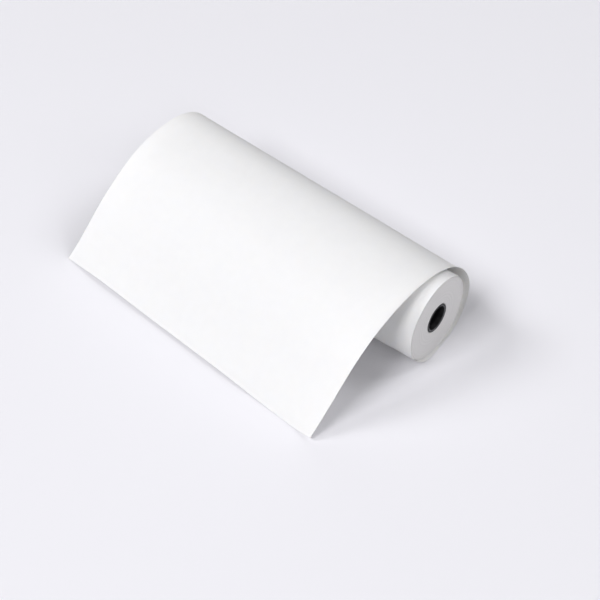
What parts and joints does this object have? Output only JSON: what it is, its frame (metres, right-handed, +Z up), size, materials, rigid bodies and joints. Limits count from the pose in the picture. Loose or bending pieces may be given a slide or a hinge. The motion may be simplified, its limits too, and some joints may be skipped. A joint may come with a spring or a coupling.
{
  "type": "paper roll",
  "caption": "Narrow roll of white paper wound on a black plastic core, with its outer turn loose and its free sheet drawn out and resting on the floor.",
  "frame": {"origin": "on the floor, under the middle of the whole object's footprint", "axes": "+X along the roll, towards the end where the loose turn stands past the pack; +Y behind the roll, so the free sheet lies towards -Y; +Z up"},
  "size_m": [0.2314, 0.1438, 0.0601],
  "materials": {
    "white_paper": "smooth uncoated, matt, with a faint sheen",
    "black_plastic": "moulded, satin, with a smooth mouth",
    "clear_tape": "thin clear film, slightly yellow"
  },
  "bodies": {
    "loose_turn": {"loose_turn": "white_paper"},
    "roll": {"core_tube": "black_plastic", "core_tape": "clear_tape", "wound_paper": "white_paper"},
    "sheet_1": {"free_sheet_1": "white_paper"},
    "sheet_2": {"free_sheet_2": "white_paper"},
    "sheet_3": {"free_sheet_3": "white_paper"},
    "sheet_4": {"free_sheet_4": "white_paper"},
    "sheet_5": {"free_sheet_5": "white_paper"}
  },
  "joints": [
    {"name": "roll_turn", "type": "hinge", "parent": "loose_turn", "child": "roll", "pos_m": [0.00616, 0.02471, 0.0278], "axis": [1, 0, 0], "range_deg": [0, 127.3]},
    {"name": "sheet_feed", "type": "slide", "parent": "loose_turn", "child": "sheet_1", "axis": [-0.0919, -0.9958, 0], "range_m": [0, 0.06]},
    {"name": "sheet_bend_2", "type": "hinge", "parent": "sheet_1", "child": "sheet_2", "pos_m": [-0.00212, 0.01165, 0.05691], "axis": [-0.995, 0.0994, 0.0066], "range_deg": [0, 30], "stiffness_Nm_per_rad": 0.02},
    {"name": "sheet_bend_3", "type": "hinge", "parent": "sheet_2", "child": "sheet_3", "pos_m": [-0.00434, -0.01029, 0.04822], "axis": [-0.995, 0.1002, 0.0006], "range_deg": [0, 30], "stiffness_Nm_per_rad": 0.02},
    {"name": "sheet_bend_4", "type": "hinge", "parent": "sheet_3", "child": "sheet_4", "pos_m": [-0.00656, -0.02937, 0.03427], "axis": [-0.9949, 0.1007, -0.0037], "range_deg": [0, 30], "stiffness_Nm_per_rad": 0.02},
    {"name": "sheet_bend_5", "type": "hinge", "parent": "sheet_4", "child": "sheet_5", "pos_m": [-0.00881, -0.04575, 0.01718], "axis": [-0.9952, 0.0977, -0.0032], "range_deg": [0, 30], "stiffness_Nm_per_rad": 0.02}
  ],
  "couplings": [
    {"joint": "sheet_feed", "follows": "roll_turn", "m_per_rad": 0.027}
  ]
}
